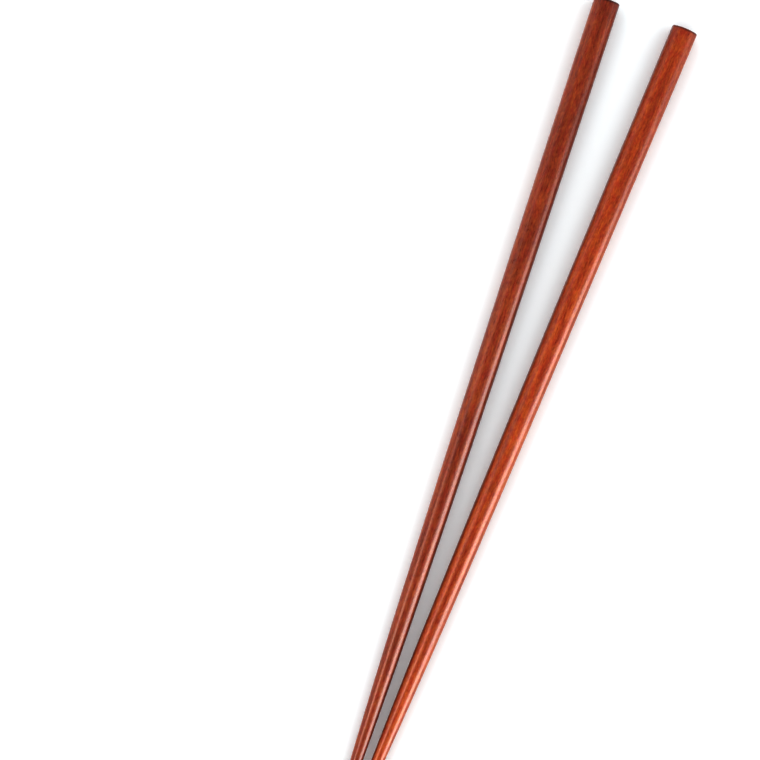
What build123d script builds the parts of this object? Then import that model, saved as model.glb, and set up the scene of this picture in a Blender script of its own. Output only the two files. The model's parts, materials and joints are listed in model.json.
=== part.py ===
"""A pair of lacquered wooden chopsticks, lying on a table in a narrow V with the tips together.

Each stick is one solid length of wood. Its section is a square with crowned faces and rounded corners
at the butt, and it grows round on the way to the tip. The width falls slowly along the handle and
faster towards the tip. Millimetres, +Z up, +Y from the tips to the butts, origin on the table under
the middle of the pair.
"""

import os
from math import asin, atan, atan2, cos, degrees, radians, sin, sqrt, tan

from build123d import *

# Sizes of one stick
stick_length = 240.0
butt_width = 7.25  # across the flats
tip_diameter = 2.0
butt_corner_radius = 2.4
butt_face_arc = 20.0  # degrees of arc in each crowned face
butt_dome_radius = 17.0
butt_edge_radius = 0.35
tip_dome_height = 0.7

# How the width falls from butt to tip: a gentle part along the handle and a steep part near the tip
gentle_share = 0.457
gentle_power = 1.5
steep_power = 6.0

# How the section grows round: it stays square along the handle, then turns into a full circle
rounding_delay = 2.0
rounding_power = 3.0

# Clear gaps between the two sticks as they lie
butt_gap = 15.7
tip_gap = 2.0

# Sections along the stick, and the wood left beyond both ends until the domes are cut
station_count = 6
trim_allowance = 1.0
trim_reach = 0.75  # radius that the ends are cut to, for each millimetre of butt width


def half_width(along):
    """Half the stick's width at a distance from the butt."""
    share = max(along, 0.0) / stick_length
    fall = gentle_share * share**gentle_power + (1 - gentle_share) * share**steep_power
    return (butt_width - (butt_width - tip_diameter) * fall) / 2


def taper(along):
    """How much the half width falls for each millimetre along the stick."""
    share = along / stick_length
    gentle = gentle_share * gentle_power * share ** (gentle_power - 1)
    steep = (1 - gentle_share) * steep_power * share ** (steep_power - 1)
    return (butt_width - tip_diameter) / 2 * (gentle + steep) / stick_length


def seam_angle():
    """Angle round the stick's axis from the middle of a face to the seam where it meets a corner."""
    corner = min(butt_corner_radius, butt_width / 2)
    bow = radians(butt_face_arc / 2)
    inset = (butt_width / 2 - corner) * sin(bow) / (1 - cos(bow) + sin(bow))
    return atan2(inset + corner * sin(bow), inset + corner * cos(bow))


def section_arcs(along):
    """Centre, radius, start and sweep of each face arc and corner arc, every one tangent to the next.

    The seams keep their angle round the axis, and the faces bow out more and more until all is one circle.
    """
    half = half_width(along)
    seam = seam_angle()
    share = min(max(along, 0.0) / stick_length, 1.0)
    squareness = (1 - share**rounding_delay) ** rounding_power
    bow = seam - (seam - radians(butt_face_arc / 2)) * squareness
    face = half * tan(seam) / (sin(bow) + tan(seam) * (1 - cos(bow)))
    seam_out = half - face * (1 - cos(bow))
    seam_aside = face * sin(bow)
    corner = (seam_out - seam_aside) / (cos(bow) - sin(bow))
    inset = seam_aside - corner * sin(bow)
    face_sweep = degrees(2 * bow)
    arcs = []
    for turn in (0, 90, 180, 270):
        face_centre = Vector(half - face, 0).rotate(Axis.Z, turn)
        corner_centre = Vector(inset, inset).rotate(Axis.Z, turn)
        arcs.append((face_centre, face, turn - face_sweep / 2, face_sweep))
        arcs.append((corner_centre, corner, turn + face_sweep / 2, 90 - face_sweep))
    return arcs


def chopstick(plane):
    """One stick, with the middle of its butt at the plane's origin and its tip along the plane's z axis."""
    axis = Axis(plane.origin, plane.z_dir)
    lengthwise = Plane(plane.origin, x_dir=plane.x_dir, z_dir=plane.x_dir.cross(plane.z_dir))
    step = stick_length / station_count
    inner_stations = [step * n for n in range(1, station_count)]
    stations = [-trim_allowance, *inner_stations, stick_length + trim_allowance]
    trim_radius = trim_reach * butt_width
    butt_drop = butt_dome_radius - sqrt(butt_dome_radius**2 - trim_radius**2)
    tip_dome_radius = (tip_diameter**2 / 4 + tip_dome_height**2) / (2 * tip_dome_height)
    tip_centre = stick_length - tip_dome_radius

    with BuildPart() as stick:
        # The tapering body, from the crowned square to the circle
        for along in stations:
            with BuildSketch(plane.offset(along)):
                with BuildLine():
                    for centre, radius, start, sweep in section_arcs(along):
                        CenterArc(centre, radius, start, sweep)
                make_face()
        loft()

        # The shallow dome of the butt and the round one of the tip
        with BuildSketch(lengthwise):
            with BuildLine():
                RadiusArc((trim_radius, butt_drop), (0, 0), butt_dome_radius)
                Line((0, 0), (0, stick_length))
                CenterArc((0, tip_centre), tip_dome_radius, 90, -90)
                Polyline((tip_dome_radius, tip_centre), (trim_radius, tip_centre), (trim_radius, butt_drop))
            make_face()
        revolve(axis=axis, mode=Mode.INTERSECT)

        # The eased edge of the butt, all round its dome
        butt_dome = stick.faces().sort_by(axis)[0]
        fillet(butt_dome.edges().filter_by(GeomType.CIRCLE, reverse=True), butt_edge_radius)
    return stick


# A stick rocks on its curved underside until the spot below its middle of weight is level
balance = chopstick(Plane.XY).part.center(CenterOf.MASS).Z
pitch = atan(taper(balance))
butt_height = balance * sin(pitch) + half_width(balance) * cos(pitch)

# Both sticks lean in by the same angle, from the butt spacing to the tip spacing
butt_spacing = butt_gap + butt_width
tip_spacing = tip_gap + tip_diameter
level_length = stick_length * cos(pitch)
lean_in = asin((butt_spacing - tip_spacing) / 2 / level_length)


def resting_plane(side):
    """Plane at the butt of a stick on the table; side is -1 for the left stick and 1 for the right one."""
    butt = Vector(side * butt_spacing / 2, level_length * cos(lean_in) / 2, butt_height)
    across = Vector(cos(lean_in), -side * sin(lean_in), 0)
    towards_tip = Vector(-side * sin(lean_in) * cos(pitch), -cos(lean_in) * cos(pitch), -sin(pitch))
    return Plane(butt, x_dir=across, z_dir=towards_tip)


os.makedirs("parts", exist_ok=True)

left_chopstick = chopstick(resting_plane(-1))
left_chopstick.part.label = "left_chopstick"
export_step(left_chopstick.part, "parts/left_chopstick.step")

right_chopstick = chopstick(resting_plane(1))
right_chopstick.part.label = "right_chopstick"
export_step(right_chopstick.part, "parts/right_chopstick.step")
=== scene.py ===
"""A pair of lacquered wooden chopsticks on a pale table, seen from straight above.

Each stick is grown by one node tree from the same rule as the solid model: a crowned square at the butt
that turns into a circle at the tip. The wood is a solid pattern that runs along each stick.
"""

import json
from math import cos, pi, radians, sin, sqrt

import bpy
from mathutils import Euler, Matrix, Vector


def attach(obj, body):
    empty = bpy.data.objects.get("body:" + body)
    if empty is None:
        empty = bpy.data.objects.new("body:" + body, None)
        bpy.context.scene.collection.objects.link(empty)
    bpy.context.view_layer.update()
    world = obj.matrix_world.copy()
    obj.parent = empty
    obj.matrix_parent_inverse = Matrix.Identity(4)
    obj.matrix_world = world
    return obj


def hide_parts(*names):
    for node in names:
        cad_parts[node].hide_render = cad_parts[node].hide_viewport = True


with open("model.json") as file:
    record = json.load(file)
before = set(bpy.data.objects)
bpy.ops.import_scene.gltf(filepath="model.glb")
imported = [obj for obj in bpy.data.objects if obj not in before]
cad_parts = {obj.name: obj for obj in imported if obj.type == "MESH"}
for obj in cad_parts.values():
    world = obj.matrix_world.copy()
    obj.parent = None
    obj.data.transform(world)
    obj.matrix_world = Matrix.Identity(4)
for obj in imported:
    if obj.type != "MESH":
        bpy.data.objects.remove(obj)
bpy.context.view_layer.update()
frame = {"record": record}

MM = 0.001

# Sizes of one stick
STICK = {
    "Length": 240.0 * MM,
    "Butt width": 7.25 * MM,
    "Tip diameter": 2.0 * MM,
    "Butt corner radius": 2.4 * MM,
    "Butt face arc": radians(20.0),
    "Butt dome radius": 17.0 * MM,
    "Butt edge radius": 0.35 * MM,
    "Tip dome height": 0.7 * MM,
    "Gentle share": 0.457,
    "Gentle power": 1.5,
    "Steep power": 6.0,
    "Rounding delay": 2.0,
    "Rounding power": 3.0,
    "Hand finish": 0.03 * MM,
    "Hand finish length": 22.0 * MM,
}
GRIP_FROM_BUTT = 60.0 * MM

# How finely a stick is meshed, and how close its points are where they are one
POINTS_AROUND = 128
RINGS = {"Butt rings": 10, "Edge rings": 8, "Body rings": 320, "Tip rings": 12}
SAME_POINT = 0.001 * MM

# Noise in the wood: its size across the grain in millimetres, its stretch along it, detail and roughness
GRAIN = {
    "zones": {"size_across": 1.8, "stretch": 12.0, "detail": 2.0, "roughness": 0.55},
    "streaks": {"size_across": 0.5, "stretch": 6.0, "detail": 3.0, "roughness": 0.6},
    "flecks": {"size_across": 0.4, "stretch": 2.4, "detail": 2.0, "roughness": 0.6},
    "patches": {"size_across": 0.9, "stretch": 2.5, "detail": 3.0, "roughness": 0.55},
    "pores": {"size_across": 0.3, "stretch": 5.0, "detail": 1.0, "roughness": 0.55},
    "dents": {"size_across": 1.1, "stretch": 2.2, "detail": 2.0, "roughness": 0.55},
}
MIDDLE = 0.5  # a noise's middle level

# How much each noise moves the tone, and the tones of the dark, middle and light wood
ZONE_WEIGHT = 1.1
STREAK_WEIGHT = 0.8
FLECK_WEIGHT = 1.0
DARK_TONE = 0.15
MIDDLE_TONE = 0.5
LIGHT_TONE = 0.85

# Redder patches: the red, green and blue that they leave, their contrast and how common they are
REDDER_TINT = (0.97, 0.66, 0.9)
REDDER_CONTRAST = 4.0
REDDER_SHARE = 0.4

# The darker butt: what each darkening leaves of the colour, and its place in millimetres from the end
BUTT_DARKENING_TINT = (0.8, 0.66, 0.95)
BUTT_DARKENING_LENGTH = 7.0
END_GRAIN_TINT = (0.7, 0.6, 0.7)
END_GRAIN_DEPTH = 0.55
END_GRAIN_FADE = 0.3
RIM_TINT = (0.35, 0.28, 0.42)
RIM_PLACE = 0.6
RIM_REACH = 0.5

# Painted shade on the side towards the other stick: what it leaves of the colour, and its edge, as cosines
# round the stick's axis
PAINTED_SHADE_TINT = (0.52, 0.46, 0.56)
PAINTED_SHADE_START = 0.76
PAINTED_SHADE_FADE = 0.13
PAINTED_SHADE_WAVER = 0.2

# Relief and gloss of the lacquer
PORE_WEIGHT = 0.5
RELIEF_STRENGTH = 0.35
RELIEF_HEIGHT = 0.03 * MM
LACQUER_ROUGHNESS = 0.3
ROUGHNESS_SPREAD = 0.2
LACQUER_IOR = 1.5

# The table
TABLE_SIDE = 8.0
TABLE_COLOUR = (0.912, 0.957, 0.972, 1.0)
TABLE_ROUGHNESS = 0.7
TABLE_GLOSS = 0.2

# Brightness of the soft light from all round, from the horizon to straight above, where it is dim
SKY = ((0.0, 1.2), (0.12, 1.0), (0.3, 0.5), (0.55, 0.98), (0.82, 1.02), (0.94, 0.3), (1.0, 0.08))
SKY_STRENGTH = 1.8
VIEW_GAMMA = 0.625

# The view: its middle, width and height above the sticks, and its turn about the vertical
VIEW_CENTRE = Vector((-33.52 * MM, -0.54 * MM, 3.3 * MM))
VIEW_WIDTH = 210.1 * MM
VIEW_HEIGHT = 800.0 * MM
VIEW_TURN = radians(20.52)

# Sockets of a Mix node that take and give colours
MIX_BELOW = 6
MIX_ABOVE = 7
MIX_RESULT = 2


class Value:
    """A number in a node tree. Arithmetic with it adds Math nodes."""

    def __init__(self, tree, socket):
        self.tree = tree
        self.socket = socket

    def math(self, operation, *inputs):
        node = self.tree.nodes.new("ShaderNodeMath")
        node.operation = operation
        for socket, value in zip(node.inputs, inputs):
            plug(self.tree, value, socket)
        return Value(self.tree, node.outputs[0])

    def __add__(self, other):
        return self.math("ADD", self, other)

    def __radd__(self, other):
        return self.math("ADD", other, self)

    def __sub__(self, other):
        return self.math("SUBTRACT", self, other)

    def __rsub__(self, other):
        return self.math("SUBTRACT", other, self)

    def __mul__(self, other):
        return self.math("MULTIPLY", self, other)

    def __rmul__(self, other):
        return self.math("MULTIPLY", other, self)

    def __truediv__(self, other):
        return self.math("DIVIDE", self, other)

    def __rtruediv__(self, other):
        return self.math("DIVIDE", other, self)

    def __pow__(self, other):
        return self.math("POWER", self, other)

    def sin(self):
        return self.math("SINE", self)

    def cos(self):
        return self.math("COSINE", self)

    def tan(self):
        return self.math("TANGENT", self)

    def sqrt(self):
        return self.math("SQRT", self)

    def absolute(self):
        return self.math("ABSOLUTE", self)

    def below(self, limit):
        return self.math("LESS_THAN", self, limit)

    def clipped(self):
        return self.math("MINIMUM", self.math("MAXIMUM", self, 0.0), 1.0)


def plug(tree, value, socket):
    """Links a value or a socket to a node's input, or sets the input to a plain number."""
    if isinstance(value, Value):
        tree.links.new(value.socket, socket)
    elif isinstance(value, bpy.types.NodeSocket):
        tree.links.new(value, socket)
    else:
        socket.default_value = value


def add(tree, kind, inputs=None, **settings):
    """A new node with its inputs, by name or number, and its settings."""
    node = tree.nodes.new(kind)
    for name, setting in settings.items():
        setattr(node, name, setting)
    for name, value in (inputs or {}).items():
        plug(tree, value, node.inputs[name])
    return node


# The shape of a stick


def section_radius(size, along, angle):
    """Distance from the stick's axis to its surface: face arcs and corner arcs, all tangent."""
    share = (along / size["Length"]).clipped()
    gentle = size["Gentle share"] * share ** size["Gentle power"]
    steep = (1 - size["Gentle share"]) * share ** size["Steep power"]
    half = (size["Butt width"] - (size["Butt width"] - size["Tip diameter"]) * (gentle + steep)) / 2

    # The seams between faces and corners keep their angle round the axis
    butt_bow = size["Butt face arc"] / 2
    butt_corner = size["Butt corner radius"]
    bow_rise = 1 - butt_bow.cos() + butt_bow.sin()
    butt_inset = (size["Butt width"] / 2 - butt_corner) * butt_bow.sin() / bow_rise
    seam_aside = butt_inset + butt_corner * butt_bow.sin()
    seam_out = butt_inset + butt_corner * butt_bow.cos()
    seam = seam_aside.math("ARCTAN2", seam_aside, seam_out)

    # The faces bow out until face and corner are one circle
    squareness = (1 - share ** size["Rounding delay"]) ** size["Rounding power"]
    bow = seam - (seam - butt_bow) * squareness
    face = half * seam.tan() / (bow.sin() + seam.tan() * (1 - bow.cos()))
    corner = (half - face * (1 - bow.cos()) - face * bow.sin()) / (bow.cos() - bow.sin())
    corner_out = (face * bow.sin() - corner * bow.sin()) * sqrt(2)

    # Every eighth of the way round is the same, from the middle of a face to the middle of a corner
    turn = angle.math("PINGPONG", angle, pi / 4)
    turn_back = pi / 4 - turn
    on_face = (face**2 - ((face - half) * turn.sin()) ** 2).sqrt() - (face - half) * turn.cos()
    on_corner = corner_out * turn_back.cos() + (corner**2 - (corner_out * turn_back.sin()) ** 2).sqrt()
    return on_corner + turn.below(seam) * (on_face - on_corner)


def around_axis(tree, reach, angle, along):
    """The point at a distance from the stick's axis, an angle round it and a place along it."""
    point = {0: reach * angle.cos(), 1: reach * angle.sin(), 2: along}
    return add(tree, "ShaderNodeCombineXYZ", point).outputs[0]


def stick_tree():
    """Node tree that grows one stick from the middle of its butt along +Z, with a flat face up to +Y."""
    tree = bpy.data.node_groups.new("chopstick", "GeometryNodeTree")
    tree.is_modifier = True
    for name in STICK:
        tree.interface.new_socket(name, in_out="INPUT", socket_type="NodeSocketFloat")
    for name in ("Points around", *RINGS):
        tree.interface.new_socket(name, in_out="INPUT", socket_type="NodeSocketInt")
    tree.interface.new_socket("Wood", in_out="INPUT", socket_type="NodeSocketMaterial")
    tree.interface.new_socket("Stick", in_out="OUTPUT", socket_type="NodeSocketGeometry")
    group = tree.nodes.new("NodeGroupInput")
    size = {socket.name: Value(tree, socket) for socket in group.outputs if socket.name != "Wood"}

    # A flat sheet, one unit each way: rings of the stick along x, points round each ring along y
    ring_count = size["Butt rings"] + size["Edge rings"] + size["Body rings"] + size["Tip rings"]
    sheet = add(tree, "GeometryNodeMeshGrid", {
        "Size X": 1.0,
        "Size Y": 1.0,
        "Vertices X": ring_count + 1,
        "Vertices Y": size["Points around"] + 1,
    })
    position = add(tree, "GeometryNodeInputPosition")
    place = add(tree, "ShaderNodeSeparateXYZ", {0: position.outputs[0]})
    ring = (Value(tree, place.outputs["X"]) + 0.5) * ring_count
    angle = (0.5 - Value(tree, place.outputs["Y"])) * 2 * pi

    # How far each ring is through the butt's dome, its eased edge, the body and the tip's dome
    on_butt = (ring / size["Butt rings"]).clipped()
    ring = ring - size["Butt rings"]
    on_edge = (ring / size["Edge rings"]).clipped() * (pi / 2)
    ring = ring - size["Edge rings"]
    on_body = (ring / size["Body rings"]).clipped()
    ring = ring - size["Body rings"]
    on_tip = (ring / size["Tip rings"]).clipped()

    # Lengthwise place of each ring
    dome = size["Butt dome radius"]
    edge = size["Butt edge radius"]
    rim = section_radius(size, 0.0, angle) - edge
    tip_height = size["Tip dome height"]
    tip_dome = (size["Tip diameter"] ** 2 / 4 + tip_height**2) / (2 * tip_height)
    tip_arc = tip_dome.math("ARCCOSINE", (tip_dome - tip_height) / tip_dome)
    tip_turn = tip_arc * (1 - on_tip)
    body_start = dome - (dome**2 - rim**2).sqrt() + edge
    body_end = size["Length"] - tip_height
    along = (
        dome - (dome**2 - (on_butt * rim) ** 2).sqrt()
        + edge * (1 - on_edge.cos())
        + on_body * (body_end - body_start)
        + tip_dome * (tip_turn.cos() - tip_arc.cos())
    )

    # Distance of each point from the axis, a little uneven as a sanded stick is
    reach = section_radius(size, along, angle) * tip_turn.sin() / tip_arc.sin()
    reach = reach - (1 - on_butt) * rim - edge * (1 - on_edge.sin())
    uneven = add(tree, "ShaderNodeTexNoise", {
        "Vector": around_axis(tree, reach, angle, along),
        "Scale": 1 / size["Hand finish length"],
        "Detail": 1.0,
    })
    waver = (Value(tree, uneven.outputs[0]) - MIDDLE) * 2 * size["Hand finish"]
    reach = reach + waver * reach / (size["Butt width"] / 2)

    rolled = add(tree, "GeometryNodeSetPosition", {
        "Geometry": sheet.outputs["Mesh"],
        "Position": around_axis(tree, reach, angle, along),
    })
    closed = add(tree, "GeometryNodeMergeByDistance", {
        "Geometry": rolled.outputs[0],
        "Distance": SAME_POINT,
    })
    smooth = add(tree, "GeometryNodeSetShadeSmooth", {"Geometry": closed.outputs[0]})
    real = add(tree, "GeometryNodeRealizeInstances", {"Geometry": smooth.outputs[0]})
    wooden = add(tree, "GeometryNodeSetMaterial", {
        "Geometry": real.outputs[0],
        "Material": group.outputs["Wood"],
    })
    add(tree, "NodeGroupOutput", {"Stick": wooden.outputs[0]})
    return tree


def resting_place(grip_name):
    """Where a stick lies: from the middle of its butt, with z towards its tip and y up."""
    grip = next(mount for mount in frame["record"]["mounts"] if mount["name"] == grip_name)
    to_butt = Vector(grip["axis"]).normalized()
    butt = Vector(grip["pos_m"]) + to_butt * GRIP_FROM_BUTT
    return Matrix.Translation(butt) @ (-to_butt).to_track_quat("Z", "Y").to_matrix().to_4x4()


def chopstick(name, tree, place, wood):
    """One stick as a plain mesh, lying in its place."""
    stick = bpy.data.objects.new(name, bpy.data.meshes.new(name))
    bpy.context.scene.collection.objects.link(stick)
    grow = stick.modifiers.new("grow", "NODES")
    grow.node_group = tree
    chosen = {**STICK, **RINGS, "Points around": POINTS_AROUND, "Wood": wood}
    for item in tree.interface.items_tree:
        if item.in_out == "INPUT":
            grow[item.identifier] = chosen[item.name]
    graph = bpy.context.evaluated_depsgraph_get()
    mesh = bpy.data.meshes.new_from_object(stick.evaluated_get(graph), depsgraph=graph)
    stick.modifiers.remove(grow)
    mesh.transform(place)
    mesh.name = name
    stick.data = mesh
    return stick


# The wood


def noise(tree, vector, size_across, stretch, detail, roughness):
    """Noise with a feature size in millimetres across the grain, drawn out along it."""
    squeezed = add(tree, "ShaderNodeVectorMath", {
        0: vector,
        1: (1.0, 1.0, 1 / stretch),
    }, operation="MULTIPLY")
    texture = add(tree, "ShaderNodeTexNoise", {
        "Vector": squeezed.outputs[0],
        "Scale": 1 / size_across,
        "Detail": detail,
        "Roughness": roughness,
    })
    return Value(tree, texture.outputs[0])


def ramp(tree, value, stops):
    """A colour ramp over (position, colour) stops."""
    node = add(tree, "ShaderNodeValToRGB", {0: value})
    while len(node.color_ramp.elements) < len(stops):
        node.color_ramp.elements.new(0.5)
    for element, (position, colour) in zip(node.color_ramp.elements, stops):
        element.position = position
        element.color = (*colour, 1.0)
    return node.outputs[0]


def lacquered_wood(name, place, shift, paler_tip, painted_shade_side, dark, middle, light):
    """Red-brown wood under a satin clear lacquer, with its grain along the stick.

    shift moves the grain along the stick by some millimetres, so that the two sticks differ. paler_tip is
    how much the tone rises from the butt to the tip. painted_shade_side is 1 where the other stick lies on
    the right, and -1 where it lies on the left; that side gets painted shade, for the shade between the
    sticks.
    """
    material = bpy.data.materials.new(name)
    material.use_nodes = True
    tree = material.node_tree
    surface = tree.nodes["Principled BSDF"]
    coordinates = add(tree, "ShaderNodeTexCoord")
    butt, turn, _ = place.decompose()
    lengthwise = add(tree, "ShaderNodeMapping", {
        "Vector": coordinates.outputs["Object"],
        "Location": butt,
        "Rotation": turn.to_euler(),
        "Scale": (MM, MM, MM),
    }, vector_type="TEXTURE")
    spot = add(tree, "ShaderNodeSeparateXYZ", {0: lengthwise.outputs[0]})
    across, up, along = (Value(tree, spot.outputs[axis]) for axis in "XYZ")
    shifted = add(tree, "ShaderNodeVectorMath", {
        0: lengthwise.outputs[0],
        1: (0.0, 0.0, shift),
    }, operation="ADD")
    grain = {layer: noise(tree, shifted.outputs[0], **look) for layer, look in GRAIN.items()}

    # Long zones of darker and lighter wood, streaks in them, and short flecks
    zones = grain["zones"] - MIDDLE
    streaks = grain["streaks"] - MIDDLE
    flecks = grain["flecks"] - MIDDLE
    tone = MIDDLE_TONE + zones * ZONE_WEIGHT + streaks * STREAK_WEIGHT + flecks * FLECK_WEIGHT
    tone = tone + (along * MM / STICK["Length"] - 0.5) * paler_tip
    colour = ramp(tree, tone, ((DARK_TONE, dark), (MIDDLE_TONE, middle), (LIGHT_TONE, light)))

    # Patches where the stain took redder, and the wood darker towards the butt, darker still at its end
    # grain and in a band round its eased edge
    redder = ((grain["patches"] - MIDDLE) * REDDER_CONTRAST + REDDER_SHARE).clipped()
    darker_butt = (1 - along / BUTT_DARKENING_LENGTH).clipped() ** 2
    end_grain = ((END_GRAIN_DEPTH - along) / END_GRAIN_FADE + 0.5).clipped()
    rim = (1 - (along - RIM_PLACE).absolute() / RIM_REACH).clipped()

    # Painted shade on the side towards the other stick, darkening it as the shade between the sticks
    # would, with an edge that wavers along the grain
    sideways = across * painted_shade_side / (across * across + up * up).sqrt()
    past_edge = sideways + zones * PAINTED_SHADE_WAVER - PAINTED_SHADE_START
    painted_shade = (past_edge / PAINTED_SHADE_FADE).clipped() * (along - RIM_PLACE).clipped()

    stains = (
        (redder, REDDER_TINT),
        (darker_butt, BUTT_DARKENING_TINT),
        (end_grain, END_GRAIN_TINT),
        (rim, RIM_TINT),
        # painted shade on the side towards the other stick
        (painted_shade, PAINTED_SHADE_TINT),
    )
    for share, tint in stains:
        stained = add(tree, "ShaderNodeMix", {
            "Factor": share,
            MIX_BELOW: colour,
            MIX_ABOVE: (*tint, 1.0),
        }, data_type="RGBA", blend_type="MULTIPLY")
        colour = stained.outputs[MIX_RESULT]
    plug(tree, colour, surface.inputs["Base Color"])

    # Fine pores and shallow dents under the lacquer, and a gloss that varies with the streaks
    bump = add(tree, "ShaderNodeBump", {
        "Height": grain["pores"] * PORE_WEIGHT + grain["dents"],
        "Strength": RELIEF_STRENGTH,
        "Distance": RELIEF_HEIGHT,
    })
    plug(tree, bump.outputs[0], surface.inputs["Normal"])
    plug(tree, LACQUER_ROUGHNESS + streaks * ROUGHNESS_SPREAD, surface.inputs["Roughness"])
    surface.inputs["IOR"].default_value = LACQUER_IOR
    return material


# The stage


def table_top():
    """A plain pale floor under the sticks."""
    mesh = bpy.data.meshes.new("table_top")
    half = TABLE_SIDE / 2
    corners = [(-half, -half, 0), (half, -half, 0), (half, half, 0), (-half, half, 0)]
    mesh.from_pydata(corners, [], [(0, 1, 2, 3)])
    paint = bpy.data.materials.new("pale_table")
    paint.use_nodes = True
    surface = paint.node_tree.nodes["Principled BSDF"]
    surface.inputs["Base Color"].default_value = TABLE_COLOUR
    surface.inputs["Roughness"].default_value = TABLE_ROUGHNESS
    surface.inputs["Specular IOR Level"].default_value = TABLE_GLOSS
    mesh.materials.append(paint)
    floor = bpy.data.objects.new("table_top", mesh)
    bpy.context.scene.collection.objects.link(floor)


def softbox(name, from_vertical, distance, along, height, length, brightness, colour):
    """A soft panel to one side, its length along the sticks, that shows only as gloss."""
    lamp = bpy.data.lights.new(name, "AREA")
    lamp.shape = "RECTANGLE"
    lamp.size = height
    lamp.size_y = length
    lamp.energy = brightness * pi * height * length
    lamp.color = colour
    panel = bpy.data.objects.new(name, lamp)
    panel.rotation_euler = Euler((0.0, from_vertical, 0.0))
    panel.location = (distance * sin(from_vertical), along, distance * cos(from_vertical))
    panel.visible_diffuse = False
    bpy.context.scene.collection.objects.link(panel)


def studio():
    """Two soft panels, one on each side of the sticks, and a soft light from all round."""
    softbox(
        "right_panel",
        from_vertical=radians(61.5),
        distance=0.7,
        along=-0.20,
        height=0.54,
        length=0.58,
        brightness=10.2,
        colour=(1.0, 1.0, 1.0),
    )
    softbox(
        "left_panel",
        from_vertical=radians(-44.0),
        distance=0.75,
        along=-0.34,
        height=0.18,
        length=0.45,
        brightness=13.4,
        colour=(1.0, 0.78, 0.68),
    )
    world = bpy.data.worlds.new("studio")
    world.use_nodes = True
    tree = world.node_tree
    direction = add(tree, "ShaderNodeTexCoord").outputs["Generated"]
    upward = add(tree, "ShaderNodeSeparateXYZ", {0: direction}).outputs["Z"]
    white = ramp(tree, upward, [(height, (level, level, level)) for height, level in SKY])
    plug(tree, white, tree.nodes["Background"].inputs["Color"])
    tree.nodes["Background"].inputs["Strength"].default_value = SKY_STRENGTH
    bpy.context.scene.world = world
    bpy.context.scene.view_settings.view_transform = "Standard"
    bpy.context.scene.view_settings.gamma = VIEW_GAMMA


def overhead_camera():
    """Straight down on the pair, turned so that the sticks slant as they lie in the picture."""
    lens = bpy.data.cameras.new("overhead")
    lens.sensor_width = 36.0
    lens.lens = lens.sensor_width * VIEW_HEIGHT / VIEW_WIDTH
    lens.clip_start = 0.01
    lens.clip_end = 10.0
    camera = bpy.data.objects.new("overhead", lens)
    camera.location = VIEW_CENTRE + Vector((0.0, 0.0, VIEW_HEIGHT))
    camera.rotation_euler = Euler((0.0, 0.0, VIEW_TURN))
    bpy.context.scene.collection.objects.link(camera)
    bpy.context.scene.camera = camera


left_place = resting_place("left_grip")
right_place = resting_place("right_grip")
left_wood = lacquered_wood(
    "brown_lacquered_wood",
    left_place,
    shift=0.0,
    paler_tip=0.08,
    # the painted shade goes on the side towards the other stick, here the right
    painted_shade_side=1.0,
    dark=(0.189, 0.037, 0.013),
    middle=(0.294, 0.068, 0.020),
    light=(0.404, 0.108, 0.027),
)
right_wood = lacquered_wood(
    "orange_lacquered_wood",
    right_place,
    shift=400.0,
    paler_tip=0.22,
    # the painted shade goes on the side towards the other stick, here the left
    painted_shade_side=-1.0,
    dark=(0.279, 0.054, 0.013),
    middle=(0.402, 0.094, 0.020),
    light=(0.530, 0.148, 0.029),
)

tree = stick_tree()
left_stick = chopstick("left_stick", tree, left_place, left_wood)
right_stick = chopstick("right_stick", tree, right_place, right_wood)
for stick, node in ((left_stick, "left_chopstick"), (right_stick, "right_chopstick")):
    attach(stick, "root")
    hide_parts(node)

table_top()
studio()
overhead_camera()
